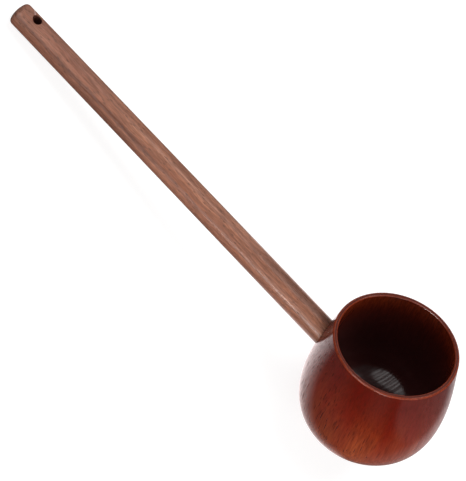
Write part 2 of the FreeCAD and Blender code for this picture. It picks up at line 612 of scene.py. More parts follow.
class WoodPatterns:
    """The shader node groups that both woods use, each built once."""

    NOISE_MIDDLE = 0.5
    STREAK_ROUGHNESS = 0.6
    PORE_CELL = (2.6, 1.3)
    PORE_EDGE = (0.2, 0.42, 1.0, 0.0)
    SWAY_SIZE = (0.03, 0.06)
    SWAY_DETAIL = 2.0

    def __init__(self) -> None:
        """Builds every pattern."""
        self.trees = {Pattern.STREAKS: self.build_streaks(), Pattern.PORES: self.build_pores(),
                      Pattern.BAND: self.build_band()}

    def mask(self, bench: NodeBench, pattern: Pattern, wood: Feed, **values: float) -> Socket:
        """One pattern on a piece.

        Args:
            bench: The bench of the piece's material.
            pattern: Which pattern.
            wood: The wood's own coordinates, with its fibres along Z.
            values: What goes into the group's other inputs, by their names in small letters.

        Returns:
            The socket of its mask.
        """
        feeds = {name.replace("_", " ").title(): value for name, value in values.items()}
        return bench.group(self.trees[pattern], {"Vector": wood, **feeds})

    def new_group(self, pattern: Pattern, inputs: Mapping[str, float]) -> tuple[NodeBench, Sockets]:
        """A pattern's group with nothing but its inputs and its mask.

        Args:
            pattern: Which pattern.
            inputs: Its inputs beside the wood's coordinates, with their usual values.

        Returns:
            The group's bench, and the sockets of its inputs.
        """
        bench = NodeBench(bpy.data.node_groups.new(pattern.value, "ShaderNodeTree"))
        bench.takes("Vector", {"Vector": None})
        bench.takes("Float", inputs)
        bench.gives("Float", "Mask")
        return bench, bench.put("NodeGroupInput").outputs

    def stretch(self, bench: NodeBench, vector: Feed, width: Feed, length: Feed) -> Socket:
        """Coordinates counted in widths across the fibres and lengths along them."""
        sizes = bench.first("ShaderNodeCombineXYZ", {"X": width, "Y": width, "Z": length})
        return bench.vector_math("DIVIDE", vector, sizes)

    def noise(self, bench: NodeBench, grid: Feed, seed: Feed, **feeds: Feed) -> Socket:
        """Seeded noise, one wave to each cell of a grid."""
        feeds = {"Vector": grid, "W": seed, "Scale": 1.0, **feeds}
        return bench.first("ShaderNodeTexNoise", feeds, noise_dimensions="4D")

    def build_streaks(self) -> Tree:
        """Long soft streaks along the fibres, as a mask that wanders between 0 and 1.

        Returns:
            The group.
        """
        bench, given = self.new_group(Pattern.STREAKS, {
            "Width": 0.001, "Length": 0.03, "Detail": 3.0, "Seed": 0.0, "Softness": 0.2})
        grid = self.stretch(bench, given["Vector"], given["Width"], given["Length"])
        noise = self.noise(bench, grid, given["Seed"], Detail=given["Detail"],
                           Roughness=self.STREAK_ROUGHNESS)
        low = bench.math("SUBTRACT", self.NOISE_MIDDLE, given["Softness"])
        high = bench.math("ADD", self.NOISE_MIDDLE, given["Softness"])
        bench.put("NodeGroupOutput", {"Mask": bench.spread(noise, low, high)})
        return bench.tree

    def build_pores(self) -> Tree:
        """Short dashes where the wood's vessels are cut open, as a mask that is 1 in a pore.

        Returns:
            The group.
        """
        bench, given = self.new_group(Pattern.PORES, {
            "Width": 0.0004, "Length": 0.006, "Share": 0.5, "Seed": 0.0})
        cell = [bench.times(given[size], pores)
                for size, pores in zip(("Width", "Length"), self.PORE_CELL)]
        grid = self.stretch(bench, given["Vector"], *cell)
        feeds = {"Vector": grid, "W": given["Seed"], "Scale": 1.0}
        cells = bench.put("ShaderNodeTexVoronoi", feeds, voronoi_dimensions="4D").outputs
        dash = bench.spread(cells["Distance"], *self.PORE_EDGE)
        chance = bench.first("ShaderNodeSeparateColor", {0: cells["Color"]})
        kept = bench.math("LESS_THAN", chance, given["Share"])
        bench.put("NodeGroupOutput", {"Mask": bench.times(dash, kept)})
        return bench.tree

    def build_band(self) -> Tree:
        """A band along one side of a rod, as a mask that is 1 in the middle of the band.

        Returns:
            The group.
        """
        bench, given = self.new_group(Pattern.BAND, {
            "Bearing": 0.0, "Half Width": 0.5, "Start": 0.0, "End": 0.3,
            "Fade": 0.04, "Wander": 0.3, "Seed": 0.0})
        spot = bench.parts(given["Vector"])
        around = bench.math("ARCTAN2", spot["Y"], spot["X"])
        grid = self.stretch(bench, given["Vector"], *self.SWAY_SIZE)
        noise = self.noise(bench, grid, given["Seed"], Detail=self.SWAY_DETAIL)
        sway = bench.times(bench.math("SUBTRACT", noise, self.NOISE_MIDDLE), given["Wander"])
        off_middle = bench.math("ADD", bench.math("SUBTRACT", around, given["Bearing"]), sway)
        edge = bench.math("COSINE", given["Half Width"])
        across = bench.spread(bench.math("COSINE", off_middle), edge, 1.0)
        before = bench.math("SUBTRACT", given["Start"], given["Fade"])
        beyond = bench.math("ADD", given["End"], given["Fade"])
        begun = bench.spread(spot["Z"], before, given["Start"])
        not_over = bench.spread(spot["Z"], given["End"], beyond, 1.0, 0.0)
        bench.put("NodeGroupOutput", {"Mask": bench.times(across, begun, not_over)})
        return bench.tree


def own_axes(bench: NodeBench, to_rest: Matrix) -> Socket:
    """Coordinates in a piece's own axes, from where its points lie at rest.

    Args:
        bench: The material's bench.
        to_rest: The move from the piece's own axes to rest.

    Returns:
        The socket of the coordinates, in metres.
    """
    lies = bench.put("ShaderNodeTexCoord").outputs["Object"]
    place, turn, _ = to_rest.decompose()
    feeds = {"Vector": lies, "Location": place, "Rotation": turn.to_euler()}
    return bench.first("ShaderNodeMapping", feeds, vector_type="TEXTURE")


def bare_material(name: str) -> tuple[bpy.types.Material, NodeBench]:
    """A new material with no nodes.

    Args:
        name: The material's name.

    Returns:
        The material, and the bench of its tree.
    """
    material = bpy.data.materials.new(name)
    material.use_nodes = True
    material.node_tree.nodes.clear()
    return material, NodeBench(material.node_tree)


def shade(bench: NodeBench, feeds: Feeds) -> None:
    """Ends a material's tree with a Principled shader that gets the feeds."""
    shader = bench.first("ShaderNodeBsdfPrincipled", feeds)
    bench.put("ShaderNodeOutputMaterial", {"Surface": shader})


def relief(bench: NodeBench, height: Feed, strength: float, depth: float) -> Socket:
    """The normals of a fine relief, from its height in shares of a depth."""
    feeds = {"Height": height, "Strength": strength, "Distance": depth}
    return bench.first("ShaderNodeBump", feeds)


@dataclass(frozen=True)
class CupWood:
    """Where a point of the cup lies and what wood is there, as sockets of a material.

    Side, height and across are metres: along the handle's plane, up from the foot and out
    from the turning axis. The others are shares and masks.
    """

    side: Socket
    height: Socket
    across: Socket
    polish: Socket
    broad: Socket
    fine: Socket
    pores: Socket
    coarse_pores: Socket
    layers: Socket
    in_bowl: Socket
    on_lip: Socket
    off_flat_line: Socket


@dataclass(frozen=True)
class RedLacquer:
    """Clear red-brown lacquer over pale wood: deep in the middle, glossy at a slant."""

    deep_red: Colour = (0.210, 0.0110, 0.0025, 1.0)
    warm_brown: Colour = (0.325, 0.064, 0.015, 1.0)
    # Dark colour of the grain's lines and pores, also mixed in as painted shade by the handle
    dark_grain_and_shade: Colour = (0.055, 0.008, 0.004, 1.0)
    # Painted shade: the darker red that the outside turns to towards the rim
    rim_shade_red: Colour = (0.105, 0.0045, 0.002, 1.0)
    lip_brown: Colour = (0.350, 0.050, 0.014, 1.0)
    # Painted shade deep in the bowl, grey-brown, which also stands in for a grey reflection there
    bowl_shade: Colour = (0.110, 0.036, 0.034, 1.0)
    # The inside's brown, darker than the outside's red: painted shade in the bowl
    inside_brown_shaded: Colour = (0.130, 0.014, 0.004, 1.0)
    wood_roughness: float = 0.5
    coat_roughness: float = 0.145
    coat_ior: float = 1.8
    layer_bearing: float = -29.0
    layer_squash: Place = (1.0, 0.04, 1.0)
    streak_warmth: float = 0.45
    low_warmth: Ramp = (0.010, 0.062, 0.5, 0.0)
    painted_shade_below_rim: Ramp = (0.035, 0.078, 0.0, 0.85)
    # Painted shade: where the outside darkens low down on the handle's side
    shade_by_handle: Ramp = (-0.016, 0.014, 0.32, 0.0)
    shade_below_handle: Ramp = (0.034, 0.060, 1.0, 0.0)
    pores_by_side: Ramp = (-0.030, 0.020, 1.2, 0.4)
    coarse_from: Ramp = (-0.034, -0.012)
    coarse_to: Ramp = (0.012, 0.040, 0.95, 0.0)
    coarse_up_to: Ramp = (0.036, 0.062, 1.0, 0.0)
    # Painted shade deep in the bowl, and painted light on the inner wall near the lip
    bowl_shade_depth: Ramp = (0.030, 0.080, 1.0, 0.0)
    painted_light_near_lip: Ramp = (0.064, 0.083, 0.0, 0.5)
    outside_lines: float = 0.4
    inside_lines: float = 0.5
    lip_lines: float = 0.6
    pore_darkness: float = 0.85
    bowl_polish: Ramp = (0.47, 0.56, 1.0, 0.0)
    lip_height: Ramp = (0.0818, 0.0824)
    lip_share: float = 0.8
    # A darker, duller line painted round the lip's flat
    flat_line_radius: float = 0.0385
    flat_line_dark: Ramp = (0.0002, 0.0008, 0.85, 0.0)
    flat_line_dull: Ramp = (0.0002, 0.0007, 1.0, 0.0)
    flat_line_coat: float = 0.4
    edge_radius: Ramp = (0.0390, 0.0394)
    edge_coat: float = 0.6
    line_coat: float = 0.75
    layer_coat: float = 0.3
    pore_coat: float = -0.55
    line_relief: float = -0.5
    layer_relief: float = -0.8
    relief_strength: float = 0.35
    relief_depth: float = 0.0001

    def wood(self, bench: NodeBench, patterns: WoodPatterns, to_rest: Matrix) -> CupWood:
        """Lays out the places and the wood patterns that the finish is mixed from.

        Args:
            bench: The material's bench.
            patterns: The shared wood groups.
            to_rest: The move from the cup's own axes to rest.

        Returns:
            Their sockets.
        """
        wood = own_axes(bench, to_rest)
        polish = bench.put("ShaderNodeAttribute", attribute_name="polish",
                           attribute_type="GEOMETRY").outputs["Fac"]
        spot = bench.parts(wood)
        side, height = spot["X"], spot["Z"]
        across = bench.length(bench.vector_math("MULTIPLY", wood, (1.0, 1.0, 0.0)))
        turned = bench.first("ShaderNodeVectorRotate",
                             {"Vector": wood, "Angle": -math.radians(self.layer_bearing)},
                             rotation_type="Z_AXIS")
        layered = bench.vector_math("MULTIPLY", turned, self.layer_squash)
        broad = patterns.mask(bench, Pattern.STREAKS, wood,
                              width=0.014, length=0.09, detail=2.0, seed=3.1, softness=0.2)
        fine = patterns.mask(bench, Pattern.STREAKS, wood,
                             width=0.0006, length=0.014, detail=2.0, seed=7.4, softness=0.13)
        layers = patterns.mask(bench, Pattern.STREAKS, layered,
                               width=0.0007, length=0.06, detail=2.0, seed=5.5, softness=0.14)
        pores = patterns.mask(bench, Pattern.PORES, wood,
                              width=0.0004, length=0.009, share=0.85, seed=1.7)
        coarse = patterns.mask(bench, Pattern.PORES, wood,
                               width=0.0003, length=0.011, share=1.0, seed=9.2)
        off_flat_line = bench.math("ABSOLUTE", bench.math("SUBTRACT", across, self.flat_line_radius))
        return CupWood(
            side=side, height=height, across=across, polish=polish, broad=broad, fine=fine,
            pores=bench.times(pores, bench.spread(side, *self.pores_by_side)),
            coarse_pores=bench.times(coarse, bench.spread(side, *self.coarse_from),
                                     bench.spread(side, *self.coarse_to),
                                     bench.spread(height, *self.coarse_up_to)),
            layers=layers, in_bowl=bench.spread(polish, *self.bowl_polish),
            on_lip=bench.spread(height, *self.lip_height), off_flat_line=off_flat_line)

    def colour(self, bench: NodeBench, wood: CupWood) -> Socket:
        """The colour of the lacquered wood, outside, on the lip and in the bowl, with painted shade
        under the rim, by the handle and in the bowl, and painted light inside near the lip.

        Args:
            bench: The material's bench.
            wood: The places and the wood patterns.

        Returns:
            The socket of the colour.
        """
        warmth = bench.math("MULTIPLY_ADD", wood.broad, self.streak_warmth,
                            bench.spread(wood.height, *self.low_warmth))
        outside = bench.mix_colour(warmth, self.deep_red, self.warm_brown)
        # Painted shade: the outside darkens towards the rim
        painted_shade_below_rim = bench.spread(wood.height, *self.painted_shade_below_rim)
        outside = bench.mix_colour(painted_shade_below_rim, outside, self.rim_shade_red)
        # Painted shade, low down on the handle's side
        painted_shade_near_handle = bench.times(bench.spread(wood.side, *self.shade_by_handle),
                                  bench.spread(wood.height, *self.shade_below_handle))
        for share in (painted_shade_near_handle, bench.times(wood.fine, self.outside_lines),
                      bench.times(wood.pores, self.pore_darkness), wood.coarse_pores):
            outside = bench.mix_colour(share, outside, self.dark_grain_and_shade)
        inside, edge_grain = [
            bench.mix_colour(bench.times(wood.fine, lines), brown, self.dark_grain_and_shade)
            for lines, brown in ((self.inside_lines, self.inside_brown_shaded),
                                 (self.lip_lines, self.lip_brown))]
        # Painted shade and a grey painted reflection deep in the bowl, then painted light near the
        # lip
        deep = bench.spread(wood.height, *self.bowl_shade_depth)
        inside = bench.mix_colour(deep, inside, self.bowl_shade)
        inside = bench.mix_colour(bench.spread(wood.height, *self.painted_light_near_lip), inside, edge_grain)
        # The darker line painted round the lip's flat
        flat_line = bench.spread(wood.off_flat_line, *self.flat_line_dark)
        lip = bench.mix_colour(flat_line, edge_grain, self.dark_grain_and_shade)
        outside = bench.mix_colour(bench.times(wood.on_lip, self.lip_share), outside, lip)
        return bench.mix_colour(wood.in_bowl, outside, inside)

    def coat(self, bench: NodeBench, wood: CupWood) -> Socket:
        """How much clear coat shows: less in pores and lines, and on parts of the lip.

        Args:
            bench: The material's bench.
            wood: The places and the wood patterns.

        Returns:
            The socket of the coat's weight.
        """
        lines = bench.between(wood.fine, 1.0, self.line_coat)
        outside = bench.math("MULTIPLY_ADD", wood.pores, self.pore_coat, lines)
        bowl = bench.between(wood.layers, 1.0, self.layer_coat)
        worn = bench.between(wood.in_bowl, outside, bowl)
        flat_line = bench.times(wood.on_lip, bench.spread(wood.off_flat_line, *self.flat_line_dull))
        worn = bench.between(flat_line, worn, self.flat_line_coat)
        edge = bench.times(wood.on_lip, bench.spread(wood.across, *self.edge_radius))
        return bench.times(wood.polish, worn, bench.between(edge, 1.0, self.edge_coat))

    def material(self, patterns: WoodPatterns, to_rest: Matrix) -> bpy.types.Material:
        """The finish as a material.

        Args:
            patterns: The shared wood groups.
            to_rest: The move from the cup's own axes to rest.

        Returns:
            The material.
        """
        material, bench = bare_material("red_lacquer")
        wood = self.wood(bench, patterns, to_rest)
        outside = bench.math("SUBTRACT", bench.times(wood.fine, self.line_relief), wood.pores)
        bowl = bench.times(wood.layers, self.layer_relief)
        height = bench.between(wood.in_bowl, outside, bowl)
        shade(bench, {
            "Base Color": self.colour(bench, wood),
            "Roughness": self.wood_roughness,
            "Specular IOR Level": 0.0,
            "Coat Weight": self.coat(bench, wood),
            "Coat Roughness": self.coat_roughness,
            "Coat IOR": self.coat_ior,
            "Normal": relief(bench, height, self.relief_strength, self.relief_depth),
        })
        return material


@dataclass(frozen=True)
class HeartwoodAndShadeBand:
    """One band on the handle, heartwood tone that some bands mix with painted shade: where it lies
    round the rod and how far it runs along it.
    """

    bearing: float
    half_width: float
    start: float
    end: float
    depth: float
    seed: float
    tone: Colour = (0.150, 0.058, 0.038, 1.0)


@dataclass(frozen=True)
class DrilledHole:
    """A drilled hole in a piece's own axes, in metres."""

    middle: Vector
    way: Vector
    radius: float


@dataclass(frozen=True)
class OiledWalnut:
    """Oiled walnut: brown with a red cast, long streaks, darker heartwood, painted shade in some
    bands, and open pores.
    """

    brown: Colour = (0.420, 0.166, 0.097, 1.0)
    pale: Colour = (0.570, 0.262, 0.166, 1.0)
    heart: Colour = (0.150, 0.058, 0.038, 1.0)
    pore: Colour = (0.070, 0.028, 0.018, 1.0)
    # Painted dark on the wall of the hanging hole
    dark_in_hole: Colour = (0.110, 0.036, 0.024, 1.0)
    pale_mark: Colour = (0.640, 0.430, 0.390, 1.0)
    smooth: float = 0.23
    rough: float = 0.36
    pore_roughness: float = 0.2
    shine: float = 0.3
    line_darkness: float = 0.55
    hair_darkness: float = 0.4
    pore_darkness: float = 0.6
    hair_relief: float = -0.35
    relief_strength: float = 0.5
    relief_depth: float = 0.00012
    drift: Place = (0.006, 0.006, 0.0)
    drift_scale: float = 22.0
    band_fade: float = 0.05
    band_wander: float = 0.5
    band_between_lines: float = 0.6
    hole_wall: Ramp = (0.05 * MM, 0.35 * MM, 1.0, 0.0)
    # A pale line painted beside the hanging hole
    pale_mark_from: Place = (6.5, 4.6, 313.8)
    pale_mark_to: Place = (7.9, 0.6, 310.9)
    pale_mark_edge: Ramp = (0.15 * MM, 0.75 * MM, 0.8, 0.0)
    # The bands at bearings -103 and -118 darken the rod's lower side, and the one at bearing 6 its
    # upper side by the cup: partly heartwood, partly painted shade
    bands: tuple[HeartwoodAndShadeBand, ...] = (
        HeartwoodAndShadeBand(bearing=-103, half_width=36, start=0.240, end=0.330, depth=0.75, seed=2.0),
        HeartwoodAndShadeBand(bearing=-60, half_width=12, start=0.215, end=0.315, depth=0.85, seed=5.0),
        HeartwoodAndShadeBand(bearing=-118, half_width=42, start=0.050, end=0.240, depth=0.55, seed=21.0),
        HeartwoodAndShadeBand(bearing=6, half_width=32, start=0.040, end=0.085, depth=0.80, seed=9.0),
        HeartwoodAndShadeBand(bearing=120, half_width=50, start=0.090, end=0.260, depth=0.40, seed=11.0),
        HeartwoodAndShadeBand(bearing=-150, half_width=40, start=0.040, end=0.180, depth=0.35, seed=14.0),
        HeartwoodAndShadeBand(bearing=-15, half_width=60, start=0.270, end=0.330, depth=0.45, seed=17.0,
                      tone=(0.350, 0.155, 0.120, 1.0)),
    )

    def wavy(self, bench: NodeBench, wood: Socket) -> Socket:
        """The wood's coordinates with a slow drift across the fibres.

        Args:
            bench: The material's bench.
            wood: The coordinates in the handle's own axes.

        Returns:
            The socket of the drifting coordinates.
        """
        feeds = {"Vector": wood, "Scale": self.drift_scale, "Detail": 1.0}
        noise = bench.put("ShaderNodeTexNoise", feeds).outputs["Color"]
        centred = bench.vector_math("SUBTRACT", noise, (0.5, 0.5, 0.5))
        return bench.vector_math("ADD", wood, bench.vector_math("MULTIPLY", centred, self.drift))

    def off_pale_mark(self, bench: NodeBench, wood: Socket) -> Socket:
        """How far a point lies from the line of the pale mark painted by the hole.

        Args:
            bench: The material's bench.
            wood: The coordinates in the handle's own axes.

        Returns:
            The socket of the distance, in metres.
        """
        begin = Vector(self.pale_mark_from) * MM
        way = Vector(self.pale_mark_to) * MM - begin
        from_begin = bench.vector_math("SUBTRACT", wood, begin)
        gone = bench.vector_math("DOT_PRODUCT", from_begin, way)
        share = bench.first("ShaderNodeClamp", {0: bench.math("DIVIDE", gone, way.length_squared)})
        return bench.vector_math("DISTANCE", from_begin, bench.scaled(way, share))

    def material(self, patterns: WoodPatterns, to_rest: Matrix,
                 hole: DrilledHole) -> bpy.types.Material:
        """The finish as a material.

        Args:
            patterns: The shared wood groups.
            to_rest: The move from the handle's own axes to rest.
            hole: The hanging hole, whose wall is painted dark.

        Returns:
            The material.
        """
        material, bench = bare_material("oiled_walnut")
        wood = own_axes(bench, to_rest)
        wavy = self.wavy(bench, wood)
        broad = patterns.mask(bench, Pattern.STREAKS, wavy,
                              width=0.0045, length=0.11, detail=2.0, seed=12.3, softness=0.22)
        lines = patterns.mask(bench, Pattern.STREAKS, wavy,
                              width=0.0010, length=0.026, detail=3.0, seed=4.4, softness=0.15)
        hairs = patterns.mask(bench, Pattern.STREAKS, wavy,
                              width=0.0005, length=0.006, detail=2.0, seed=8.8, softness=0.15)
        pores = patterns.mask(bench, Pattern.PORES, wavy,
                              width=0.0004, length=0.003, share=0.65, seed=6.6)
        layers = [(broad, self.pale)]
        for band in self.bands:
            mask = patterns.mask(
                bench, Pattern.BAND, wood, bearing=math.radians(band.bearing),
                half_width=math.radians(band.half_width), start=band.start, end=band.end,
                fade=self.band_fade, wander=self.band_wander, seed=band.seed)
            faint = band.depth * self.band_between_lines
            layers.append((bench.times(mask, bench.between(lines, band.depth, faint)), band.tone))
        to_middle = bench.vector_math("SUBTRACT", wood, hole.middle)
        off_drill = bench.length(bench.vector_math("CROSS_PRODUCT", to_middle, hole.way))
        off_wall = bench.math("SUBTRACT", off_drill, hole.radius)
        layers += [
            (bench.times(lines, self.line_darkness), self.heart),
            (bench.times(hairs, self.hair_darkness), self.pore),
            (bench.times(pores, self.pore_darkness), self.pore),
            (bench.spread(self.off_pale_mark(bench, wood), *self.pale_mark_edge), self.pale_mark),
            # The hole's wall is painted dark
            (bench.spread(off_wall, *self.hole_wall), self.dark_in_hole),
        ]
        colour: Feed = self.brown
        for share, tone in layers:
            colour = bench.mix_colour(share, colour, tone)
        sheen = bench.between(lines, self.smooth, self.rough)
        height = bench.math("SUBTRACT", bench.times(hairs, self.hair_relief), pores)
        shade(bench, {
            "Base Color": colour,
            "Roughness": bench.math("MULTIPLY_ADD", pores, self.pore_roughness, sheen),
            "Specular IOR Level": self.shine,
            "Normal": relief(bench, height, self.relief_strength, self.relief_depth),
        })
        return material


@dataclass
class CopedHandle:
    """The round handle: tenon, coped shoulder, tapered rod, hanging hole and domed butt."""

    rise: float = 23.25
    height: float = 38.3
    root_radius: float = 8.95
    butt_radius: float = 7.9
    reach: float = 321.3
    dome_radius: float = 17.5
    edge_radius: float = 3.2
    hole_radius: float = 3.0
    hole_lean: float = 15.0
    hole_from_end: float = 15.0
    mouth_round: float = 0.4
    tenon_radius: float = 4.5
    glue_gap: float = 0.1
    end_gap: float = 0.3
    mortise_skin: float = 2.6
    shoulder_ease: float = 0.12
    window_reach: float = 6.5
    clear_of_cup: float = 57.0
    collar: float = 1.0
    turn_steps: int = 96
    window_steps: int = 9
    ease_steps: int = 4
    side_steps: int = 60
    edge_steps: int = 8
    dome_steps: int = 14
    mouth_steps: int = 5
    finish: OiledWalnut = field(default_factory=OiledWalnut)

    @property
    def lean(self) -> float:
        """The turn about the Y axis that lays the upright rod along the handle."""
        return math.radians(self.rise - 90)

    @property
    def to_cup(self) -> Matrix:
        """The move from the handle's own axes to the cup's, in metres."""
        return Matrix.Translation((0, 0, self.height * MM)) @ Matrix.Rotation(self.lean, 4, "Y")

    @property
    def hole_station(self) -> float:
        """How far along the handle its hanging hole lies."""
        return self.reach - self.hole_from_end

    @property
    def edge_station(self) -> float:
        """How far along the handle the centre of its butt's rounded edge lies."""
        to_edge = self.dome_radius - self.edge_radius
        out = self.butt_radius - self.edge_radius
        return self.reach - self.dome_radius + math.sqrt(to_edge**2 - out**2)

    @property
    def drill(self) -> Vector:
        """The direction in which the hanging hole is drilled, in the handle's own axes."""
        lean = math.radians(self.hole_lean)
        return Vector((math.cos(lean), 0, math.sin(lean)))

    @property
    def hole(self) -> DrilledHole:
        """The hanging hole."""
        middle = Vector((0, 0, self.hole_station * MM))
        return DrilledHole(middle, self.drill, self.hole_radius * MM)

    def radius_at(self, station: float) -> float:
        """The rod's radius at a distance along the handle."""
        taper = self.butt_radius - self.root_radius
        return self.root_radius + taper * station / self.edge_station

    def outline(self, tenon_end: float) -> Outline:
        """The rod's outline, from the end of its tenon to the tip of its butt.

        Points on the shoulder carry how far they stand off the cup's wall, in metres, and all
        other points carry a negative value.

        Args:
            tenon_end: How far from the cup's axis the tenon ends.

        Returns:
            The outline.
        """
        clear, ease = self.clear_of_cup, self.shoulder_ease
        rod = self.radius_at(clear)
        ring_before, ring_after = ease * 3, ease * 4
        outline = Outline()
        outline.add((0, tenon_end), FREE)
        outline.line((self.tenon_radius, tenon_end), 2, FREE)
        for across in (self.tenon_radius, (self.tenon_radius + rod) / 2, rod - ring_before):
            outline.add((across, clear), 0.0)
        for step in range(self.ease_steps + 1):
            turn = math.radians(90 * step / self.ease_steps)
            across = rod - ease + ease * math.sin(turn)
            outline.add((across, clear), ease * (1 - math.cos(turn)) * MM)
        outline.add((rod, clear), ring_after * MM)
        outline.add((self.radius_at(clear + self.collar), clear + self.collar), FREE)
        for station, steps in ((self.hole_station - self.window_reach, self.side_steps),
                               (self.hole_station + self.window_reach, self.window_steps * 2),
                               (self.edge_station, self.edge_steps)):
            outline.line((self.radius_at(station), station), steps, FREE)
        edge_centre = Vector((self.butt_radius - self.edge_radius, self.edge_station))
        dome_centre = Vector((0, self.reach - self.dome_radius))
        slope = math.degrees(math.atan2(*(edge_centre - dome_centre).yx))
        outline.arc(edge_centre, (0, slope), self.edge_radius, self.edge_steps, FREE)
        outline.arc(dome_centre, (slope, 90), self.dome_radius, self.dome_steps, FREE)
        outline.points[-1].x = 0.0
        return outline

    def on_side(self, station: float, aside: float, mouth: Mouth) -> Vector:
        """A point of the rod's side.

        Args:
            station: Its distance along the rod.
            aside: Its distance to one side of the rod's middle plane.
            mouth: Which side of the rod.

        Returns:
            The point, in the handle's own axes.
        """
        up = math.sqrt(self.radius_at(station) ** 2 - aside**2)
        return Vector((up * mouth.value, aside, station))

    def where_drilled(self, spot: Vector, mouth: Mouth) -> Vector:
        """Where a line along the drill comes out of the rod's side.

        Args:
            spot: The line's place in the drill's round section: along the rod, and aside.
            mouth: Which side of the rod.

        Returns:
            The point, in the handle's own axes.
        """
        lean = math.radians(self.hole_lean)
        point = self.on_side(self.hole_station, spot.y, mouth)
        for _ in range(SETTLING_ROUNDS):
            station = self.hole_station + (spot.x + point.x * math.sin(lean)) / math.cos(lean)
            point = self.on_side(station, spot.y, mouth)
        return point

    def window_rim(self) -> list[Vector]:
        """The rim of the window that is cut away round a mouth of the hole.

        Returns:
            Its points, as their distance aside and their station.
        """
        steps = self.window_steps
        rim = []
        for index in range(steps * 8):
            side, along = divmod(index + steps, steps * 2)
            near = along - steps
            corners = [(steps, near), (-near, steps), (-steps, -near), (near, -steps)]
            row, column = corners[side % 4]
            station = self.hole_station + self.window_reach * row / steps
            angle = math.tau * column / self.turn_steps
            rim.append(Vector((self.radius_at(station) * math.sin(angle), station)))
        return rim

    def mouth_rings(self, mouth: Mouth) -> list[list[Vector]]:
        """The rings of points from the cut-away window in to the wall of the hole.

        Args:
            mouth: Which mouth of the hole.

        Returns:
            The rings, each with the same number of points.
        """
        window, steps, ease = self.window_rim(), self.mouth_steps, self.mouth_round
        plan = [heading(360 * index / len(window)) for index in range(len(window))]
        brim = [self.where_drilled(way * (self.hole_radius + ease), mouth).yz for way in plan]
        rings = []
        for step in range(steps + 1):
            spots = [edge.lerp(inner, step / steps) for edge, inner in zip(window, brim)]
            rings.append([self.on_side(station, aside, mouth) for aside, station in spots])
        for step in range(1, steps + 1):
            turn = math.radians(90 * step / steps)
            reach = self.hole_radius + ease * (1 - math.sin(turn))
            sink = self.drill * (ease * (1 - math.cos(turn)) * mouth.value)
            rings.append([self.where_drilled(way * reach, mouth) - sink for way in plan])
        return rings

    def hole_lining(self) -> bpy.types.Object:
        """The wood round the hanging hole: both eased mouths and the wall between them.

        Returns:
            An object in the handle's own axes, for the handle's tree to set in.
        """
        bm = bmesh.new()
        chain = self.mouth_rings(Mouth.UPPER) + self.mouth_rings(Mouth.LOWER)[::-1]
        rings = [[bm.verts.new(point * MM) for point in ring] for ring in chain]
        for inner, outer in zip(rings, rings[1:]):
            for index in range(len(inner)):
                after = (index + 1) % len(inner)
                bm.faces.new((inner[index], inner[after], outer[after], outer[index]))
        mesh = bpy.data.meshes.new("hole_lining")
        bm.to_mesh(mesh)
        bm.free()
        layer = mesh.attributes.new("off_wall", "FLOAT", "POINT")
        layer.data.foreach_set("value", [FREE] * len(mesh.vertices))
        return set_down("hole_lining", mesh)

    def build(self, trees: TurningTrees, cup: "TurnedCup", stance: Stance,
              material: bpy.types.Material) -> bpy.types.Object:
        """Turns the rod, lines its hole and copes it to the cup.

        Args:
            trees: The turning trees.
            cup: The cup that it meets.
            stance: How the ladle lies.
            material: The handle's finish.

        Returns:
            The finished piece.
        """
        inside, _ = cup.wall_crossings(self)
        outline = self.outline(inside + self.mortise_skin + self.end_gap)
        chain = outline.mesh("handle_outline", "off_wall")
        lining = self.hole_lining()
        form = set_down("cup_form", cup.outline().mesh("cup_form", "polish"))
        half_angle = math.tau * self.window_steps / self.turn_steps
        window_width = 2 * self.radius_at(self.hole_station) * math.sin(half_angle)
        piece = shape_piece("coped_handle", chain, trees.handle, {
            "Turn Steps": self.turn_steps,
            "Hole Lining": lining,
            "Hole Station": self.hole_station * MM,
            "Window Length": self.window_reach * 2 * MM,
            "Window Width": window_width * MM,
            "Cup Outline": form,
            "Cup Turn Steps": cup.turn_steps,
            "Handle Lean": self.lean,
            "Handle Height": self.height * MM,
            "Rest Lean": stance.lean,
            "Rest Place": stance.place,
            "Finish": material,
        })
        bpy.data.objects.remove(lining)
        bpy.data.objects.remove(form)
        return piece


